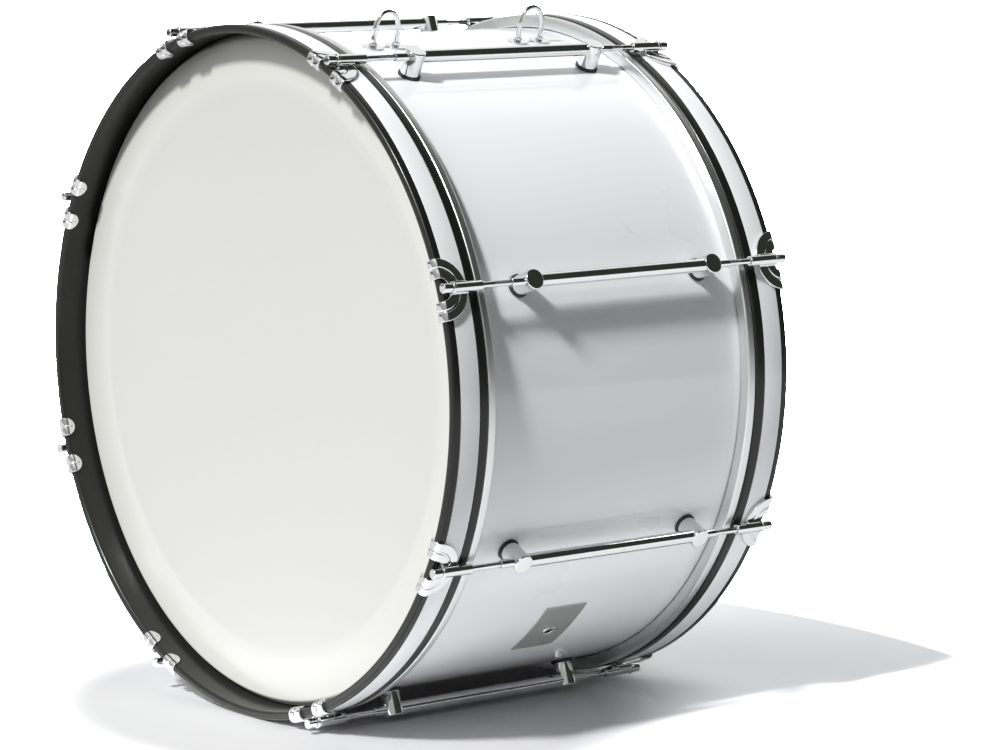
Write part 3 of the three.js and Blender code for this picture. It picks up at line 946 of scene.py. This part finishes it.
def rod_mesh():
    """A threaded end, a plain shank and a slotted round head."""
    head_low = ROD_END - ROD_HEAD_LENGTH
    thread_end = ROD_TIP + THREAD_LENGTH
    rows = int(THREAD_LENGTH / THREAD_PITCH * THREAD_ROWS_A_TURN)
    sections = []
    for k in range(rows + 1):
        along = ROD_TIP + THREAD_LENGTH * k / rows
        ends = max(0, min(1, (along - ROD_TIP) / THREAD_RUNOUT, (thread_end - along) / THREAD_RUNOUT))
        loop = []
        for j in range(THREAD_SIDES):
            angle = 2 * math.pi * j / THREAD_SIDES
            phase = (along / THREAD_PITCH - j / THREAD_SIDES) % 1
            radius = ROD_HALF - THREAD_DEPTH * abs(2 * phase - 1) * ends - THREAD_CLEARANCE
            loop.append(Vector((radius * math.sin(angle), along, radius * math.cos(angle))))
        sections.append(loop)
    plain = bar(ROD_HALF, thread_end - ROD_OVERLAP, head_low, ROD_SIDES)
    head = turned([
        (0, head_low, 0),
        (ROD_HEAD_HALF, head_low, ROD_HEAD_LOW_ROUND),
        (ROD_HEAD_HALF, ROD_END, ROD_HEAD_ROUND),
        (0, ROD_END, 0),
    ])
    slot = box_part(SLOT_WIDTH / 2, ROD_END - SLOT_DEPTH, ROD_END + SLOT_DEPTH, ROD_HEAD_HALF + SLOT_MARGIN)
    slotted = cut(mesh_of("rod_head", *head), slot)
    head_part = ([v.co.copy() for v in slotted.vertices], [list(p.vertices) for p in slotted.polygons])
    whole = moved(joined(swept(sections), plain, head_part), Matrix.Translation((0, 0, ROD_RADIUS)))
    return mesh_of("rod", *whole, SHARP_BENT)


# Lugs with their gaskets


def lug_mesh():
    """A tube between two posts, with a ferrule at each end."""
    seat = SHELL_RADIUS + GASKET_THICKNESS
    lift = Matrix.Translation((0, 0, ROD_RADIUS))
    post = turned([
        (0, seat, 0),
        (POST_HALF, seat, POST_FOOT_ROUND),
        (POST_HALF, POST_TIP, POST_ROUND),
        (0, POST_TIP, 0),
    ])
    ferrule = revolved(fillet([
        (ROD_HALF + FERRULE_CLEARANCE, POST_ALONG, 0),
        (FERRULE_HALF, POST_ALONG, 0),
        (FERRULE_HALF, LUG_END, FERRULE_ROUND),
        (ROD_HALF + FERRULE_CLEARANCE, LUG_END, FERRULE_BORE_ROUND),
    ]), SMALL_SIDES)
    parts = [moved(bar(TUBE_HALF, -POST_ALONG, POST_ALONG), lift)]
    for sign in SIGNS:
        parts.append(moved(post, Matrix.Translation((0, sign * POST_ALONG, 0)) @ UPRIGHT))
        flip = Matrix.Identity(4) if sign > 0 else Matrix.Rotation(math.pi, 4, "Z")
        parts.append(moved(ferrule, lift @ flip))
    return mesh_of("lug", *joined(*parts))


def gasket_mesh():
    low = SHELL_RADIUS - GASKET_SINK
    high = SHELL_RADIUS + GASKET_THICKNESS
    part = turned([
        (0, low, 0),
        (GASKET_HALF, low, GASKET_FOOT_ROUND),
        (GASKET_HALF, high, GASKET_TOP_ROUND),
        (0, high, 0),
    ])
    return mesh_of("gasket", *moved(part, UPRIGHT))


# Strap eyes


def eye_line():
    """Points (along, out) of the wire: a leg, a slightly pointed arch, and the other leg."""
    inside = SHELL_RADIUS - SHELL_WALL - EYE_TAIL
    shoulder = EYE_APEX - 2 * EYE_LEG * EYE_SHOULDER_SHARE
    start = Vector((EYE_LEG, shoulder))
    control = Vector((EYE_LEG * EYE_LEAN_SHARE, EYE_APEX))
    top = Vector((0, EYE_APEX))
    half = [Vector((EYE_LEG, inside)), Vector((EYE_LEG, (inside + shoulder) / 2))]
    for k in range(EYE_ARCH_STEPS + 1):
        t = k / EYE_ARCH_STEPS
        half.append(start * (1 - t) ** 2 + control * 2 * t * (1 - t) + top * t ** 2)
    return half + [Vector((-p.x, p.y)) for p in reversed(half[:-1])]


def hexagon(low, high):
    """A chamfered hex nut about Z."""
    half = NUT_FLATS / 2 / math.cos(math.pi / NUT_SIDES)
    levels = [
        (low, NUT_CHAMFER_SHARE), (low + NUT_CHAMFER, 1),
        (high - NUT_CHAMFER, 1), (high, NUT_CHAMFER_SHARE),
    ]
    angles = [2 * math.pi / NUT_SIDES * k for k in range(NUT_SIDES)]
    sections = []
    for out, share in levels:
        radius = half * share
        corners = [(radius * math.cos(angle), radius * math.sin(angle)) for angle in angles]
        sections.append([Vector((x, y, out)) for x, y in corners])
    return swept(sections)


def strap_eye_mesh():
    """A bent wire with a nut outside and inside the shell on each leg."""
    line = eye_line()
    sections = []
    for i, point in enumerate(line):
        before, after = line[max(0, i - 1)], line[min(len(line) - 1, i + 1)]
        direction = (after - before).normalized()
        normal = Vector((direction.y, -direction.x))
        loop = []
        for j in range(EYE_SIDES):
            angle = 2 * math.pi * j / EYE_SIDES
            offset = normal * (EYE_WIRE * math.cos(angle))
            loop.append(Vector((EYE_WIRE * math.sin(angle), point.x + offset.x, point.y + offset.y)))
        sections.append(loop)
    parts = [swept(sections)]
    outside = SHELL_RADIUS + NUT_LIFT + WASHER_THICKNESS
    inside = SHELL_RADIUS - SHELL_WALL - NUT_LIFT
    for sign in SIGNS:
        for low in (outside, inside - NUT_HEIGHT):
            leg = Matrix.Translation((0, sign * EYE_LEG, 0))
            parts.append(moved(hexagon(low, low + NUT_HEIGHT), leg))
    return mesh_of("strap_eye", *joined(*parts), SHARP_THIN)


def washer_mesh():
    low = SHELL_RADIUS + WASHER_LIFT
    bore = EYE_WIRE + WASHER_CLEARANCE
    outline = fillet([
        (WASHER_HALF, low, WASHER_SMALL_ROUND),
        (WASHER_HALF, low + WASHER_THICKNESS, WASHER_ROUND),
        (bore, low + WASHER_THICKNESS, WASHER_SMALL_ROUND),
        (bore, low, WASHER_BORE_ROUND),
    ])
    return mesh_of("washer", *moved(revolved(outline, SMALL_SIDES), UPRIGHT))


# Vent plate and grommet


def plate_mesh():
    """A thin plate bent to the shell, with softened edges and the vent's hole."""
    low = SHELL_RADIUS + PLATE_GAP
    high = low + PLATE_THICKNESS
    levels = [(low, 0), (high - PLATE_EDGE, 0), (high, PLATE_EDGE)]
    verts, faces, index = [], [], {}

    def vertex(i, j, level):
        key = (i, j, level)
        if key not in index:
            radius, inset = levels[level]
            across = (i / PLATE_COLUMNS - HALF) * (PLATE_HEIGHT - 2 * inset)
            along = (j / PLATE_ROWS - HALF) * (PLATE_WIDTH - 2 * inset)
            angle = across / SHELL_RADIUS
            index[key] = len(verts)
            verts.append(Vector((radius * math.sin(angle), along, radius * math.cos(angle))))
        return index[key]

    for i in range(PLATE_COLUMNS):
        for j in range(PLATE_ROWS):
            corners = [(i, j), (i + 1, j), (i + 1, j + 1), (i, j + 1)]
            faces.append([vertex(a, b, 2) for a, b in corners])
            faces.append([vertex(a, b, 0) for a, b in reversed(corners)])
    border = [(i, 0) for i in range(PLATE_COLUMNS)]
    border += [(PLATE_COLUMNS, j) for j in range(PLATE_ROWS)]
    border += [(i, PLATE_ROWS) for i in range(PLATE_COLUMNS, 0, -1)]
    border += [(0, j) for j in range(PLATE_ROWS, 0, -1)]
    for n, here in enumerate(border):
        there = border[(n + 1) % len(border)]
        for level in (0, 1):
            ring = ((here, level), (there, level), (there, level + 1), (here, level + 1))
            faces.append([vertex(*spot, height) for spot, height in ring])
    whole = mesh_of("vent_plate", verts, faces, SHARP_THIN)
    hole = pin(VENT_TUBE, SHELL_RADIUS - CUT_MARGIN, SHELL_RADIUS + CUT_MARGIN)
    return cut(whole, moved(hole, Matrix.Rotation(VENT_ANGLE - PLATE_ANGLE, 4, "Y")))


def grommet_mesh():
    seat = SHELL_RADIUS + PLATE_GAP + PLATE_THICKNESS
    tail = SHELL_RADIUS - SHELL_WALL - VENT_TAIL
    outline = fillet([
        (VENT_BORE, tail, VENT_ROUND),
        (VENT_TUBE - VENT_FIT, tail, VENT_ROUND),
        (VENT_TUBE - VENT_FIT, seat, 0),
        (VENT_FLANGE, seat, VENT_ROUND),
        (VENT_FLANGE - VENT_SLOPE, seat + VENT_LIP, VENT_LIP_ROUND),
        (VENT_BORE, seat + VENT_LIP, VENT_MOUTH_ROUND),
    ])
    return mesh_of("vent_grommet", *moved(revolved(outline, SMALL_SIDES), UPRIGHT))


# Assembly


def lug_angle(i):
    return FIRST_LUG + 2 * math.pi / LUG_COUNT * i


def build_hoop_sets():
    """Both heads with their rings, claws and rods."""
    rings = {
        "head": (film_mesh(), "film"),
        "damping_ring": (damping_ring_mesh(), "foam"),
        "flesh_hoop": (flesh_hoop_mesh(), "flesh"),
        "wood_hoop": (wood_hoop_mesh(), "hoop"),
        "hoop_inlay": (inlay_mesh(), "inlay"),
    }
    claw, rod = claw_mesh(), rod_mesh()
    for side in SIDES:
        body = f"{side}_hoop_set"
        for part, (mesh, finish) in rings.items():
            dress(f"{side}_{part}_skin", mesh, finish, station(0, side=side), body, f"{side}_{part}")
        for i in range(LUG_COUNT):
            here = station(lug_angle(i), side=side)
            claw_node, rod_node = f"{side}_claw_{i + 1}", f"{side}_rod_{i + 1}"
            dress(f"{claw_node}_skin", claw, "chrome", here, body, claw_node)
            dress(f"{rod_node}_skin", rod, "chrome", here, rod_node, rod_node)


def build_lugs():
    lug, gasket = lug_mesh(), gasket_mesh()
    for i in range(LUG_COUNT):
        node = f"lug_{i + 1}"
        dress(f"{node}_skin", lug, "chrome", station(lug_angle(i), HARDWARE_MIDDLE), "shell", node)
        for side, sign in zip(SIDES, SIGNS):
            foot = station(lug_angle(i), HARDWARE_MIDDLE + sign * POST_ALONG)
            dress(f"{node}_{side}_gasket", gasket, "rubber", foot, "shell")


def build_strap_eyes():
    eye, washer = strap_eye_mesh(), washer_mesh()
    for side, middle in zip(SIDES, EYE_PLACES):
        eye_node = f"{side}_strap_eye"
        dress(f"{eye_node}_skin", eye, "chrome", station(EYE_ANGLE, middle), "shell", eye_node)
        for leg, sign in zip(SIDES, SIGNS):
            node = f"{eye_node}_{leg}_washer"
            here = station(EYE_ANGLE, middle + sign * EYE_LEG)
            dress(f"{node}_skin", washer, "chrome", here, "shell", node)


def build_drum():
    dress("shell_skin", shell_mesh(), "shell", station(0), "shell", "shell")
    build_hoop_sets()
    build_lugs()
    build_strap_eyes()
    plate, vent = station(PLATE_ANGLE, PLATE_ALONG), station(VENT_ANGLE, PLATE_ALONG)
    dress("vent_plate_skin", plate_mesh(), "plate", plate, "shell", "vent_plate")
    dress("vent_grommet_skin", grommet_mesh(), "chrome", vent, "shell", "vent_grommet")


# Floor, world and lamps

FLOOR_SIZE = 60
FLOOR_TINT = (0.99, 0.99, 1)

# Painted light and shade on the floor, each an ellipse's middle, its two half sizes, and (distance in such
# sizes, grey) stops.
# They go into the floor's colour, one for each kind of ray.
# Painted bounce light: other rays see the floor bright to the drum's right, fading to dark far out.
PAINTED_BOUNCE_LIGHT = ((0.35, 0.1), (0.65, 0.35), ((0.6, 0.96), (2.0, 0.04)))
# Painted reflections: glossy rays see a bright patch of floor to the right, for the chrome, and one to the
# front left, for the film.
PAINTED_RIGHT_REFLECTION = ((2.2, 0.5), (1, 0.6), ((2.75, 0.68), (2.95, 0.05)))
PAINTED_LEFT_REFLECTION = ((-2, -3.5), (1.4, 1), ((3.3, 0.48), (3.8, 0)))
# Painted shadow: the camera sees the floor darker next to the drum, and over 1 further out, so that the floor
# shows white round the painted part of the shadow and over the real shadow's far end.
PAINTED_FLOOR_SHADOW = ((0.02, -0.1), (0.36, 0.3), ((0.78, 0.48), (1.35, 2.3), (2.22, 2.3), (2.36, 30)))

# The room: sky by height, dark room by nearness to its far side, and a front glow (low, high, start, end)
WHITE = (1, 1, 1, 1)
FAR_SIDE = (-0.78, 0.62, 0.0)
SKY = ((0.0, (0.05, 0.05, 0.05)), (0.5, (0.06, 0.061, 0.061)), (1.0, (0.25, 0.26, 0.27)))
ROOM = (
    (0.0, (0.04, 0.042, 0.034)), (0.45, (0.03, 0.033, 0.026)),
    (0.7, (0.035, 0.038, 0.03)), (0.78, (1, 1, 1)),
)
FRONT_GLOW = (0, 0.36, -0.15, -0.45)
HIGH_GLOW = (1, 2.2, 0.25, 0.6)
SOFT = "SMOOTHSTEP"

# Each lamp's name, the way towards it, its width in degrees, its strength, and whether reflections show it
LAMPS = (
    ("key", (0.21, -0.95, 1), 7, 4.69, True),
    ("fill", (-0.5, -1, 0.2), 90, 3.3, False),
    ("back", (-0.25, 1, 0.06), 8, 2, True),
)


def painted_floor_light(made, middle, size, stops):
    """Painted light and shade on the floor: a grey that changes with the distance from a middle, in sizes of an
    ellipse on the floor.
    """
    away = made.vector_math("SUBTRACT", {0: made.place(), 1: (*middle, 0)})
    scaled = made.vector_math("DIVIDE", {0: away, 1: (*size, 1)})
    reach = made.vector_math("LENGTH", {0: scaled}, "Value")
    (start, near), (end, far) = stops[:2]
    shade = made.spread(reach, near, far, start, end, SOFT)
    for (start, near), (end, far) in zip(stops[1:], stops[2:]):
        shade = made.math("ADD", shade, made.spread(reach, 0, far - near, start, end, SOFT))
    return shade


def build_floor():
    half = FLOOR_SIZE / 2
    corners = ((-half, -half), (half, -half), (half, half), (-half, half))
    mesh = mesh_of("floor", [Vector((x, y, 0)) for x, y in corners], [[0, 1, 2, 3]])
    floor = bpy.data.objects.new("floor", mesh)
    bpy.context.scene.collection.objects.link(floor)
    made = Nodes(bpy.data.materials.new("floor"), cleared=True)
    # The painted reflections that glossy rays see, then the painted bounce light for other rays and the painted
    # shadow that the camera sees.
    mirrored = made.math("ADD", painted_floor_light(made, *PAINTED_RIGHT_REFLECTION), painted_floor_light(made, *PAINTED_LEFT_REFLECTION))
    paints = []
    for shade in (painted_floor_light(made, *PAINTED_BOUNCE_LIGHT), mirrored, painted_floor_light(made, *PAINTED_FLOOR_SHADOW)):
        tinted = made.vector_math("SCALE", {0: FLOOR_TINT, "Scale": shade})
        paints.append(made.add("ShaderNodeBsdfDiffuse", {"Color": tinted}).outputs[0])
    made.end_by_ray("ShaderNodeOutputMaterial", *paints)
    mesh.materials.append(made.owner)


def build_world():
    """White to the camera, a dim sky for fill, and for gloss a dark room with a bright far side and front."""
    world = bpy.data.worlds.new("studio")
    bpy.context.scene.world = world
    made = Nodes(world, cleared=True)

    def halved(value):
        """From the range -1 to 1 to the range 0 to 1."""
        return made.math("ADD", made.math("MULTIPLY", value, HALF), HALF)

    direction = made.add("ShaderNodeTexCoord").outputs["Generated"]
    along, up = made.split(direction)[1:]
    sky = made.ramp(halved(up), SKY)
    far = made.vector_math("DOT_PRODUCT", {0: direction, 1: FAR_SIDE}, "Value")
    room = made.ramp(halved(far), ROOM)
    front = made.spread(along, *FRONT_GLOW, SOFT)
    glow = made.math("MULTIPLY", front, made.spread(up, *HIGH_GLOW, SOFT))
    lit = made.mix(1, room, glow, "ADD")
    shades = [made.add("ShaderNodeBackground", {"Color": colour}).outputs[0] for colour in (sky, lit, WHITE)]
    made.end_by_ray("ShaderNodeOutputWorld", *shades)


def build_lamp(name, direction, width, strength, mirrored):
    data = bpy.data.lights.new(name, "SUN")
    data.energy = strength
    data.angle = math.radians(width)
    lamp = bpy.data.objects.new(name, data)
    lamp.visible_glossy = mirrored
    lamp.rotation_mode = "QUATERNION"
    lamp.rotation_quaternion = (-Vector(direction).normalized()).to_track_quat("-Z", "Y")
    bpy.context.scene.collection.objects.link(lamp)


def build_studio():
    bpy.context.scene.view_settings.view_transform = "Standard"
    build_floor()
    build_world()
    for lamp in LAMPS:
        build_lamp(*lamp)


make_camera()
build_drum()
build_studio()
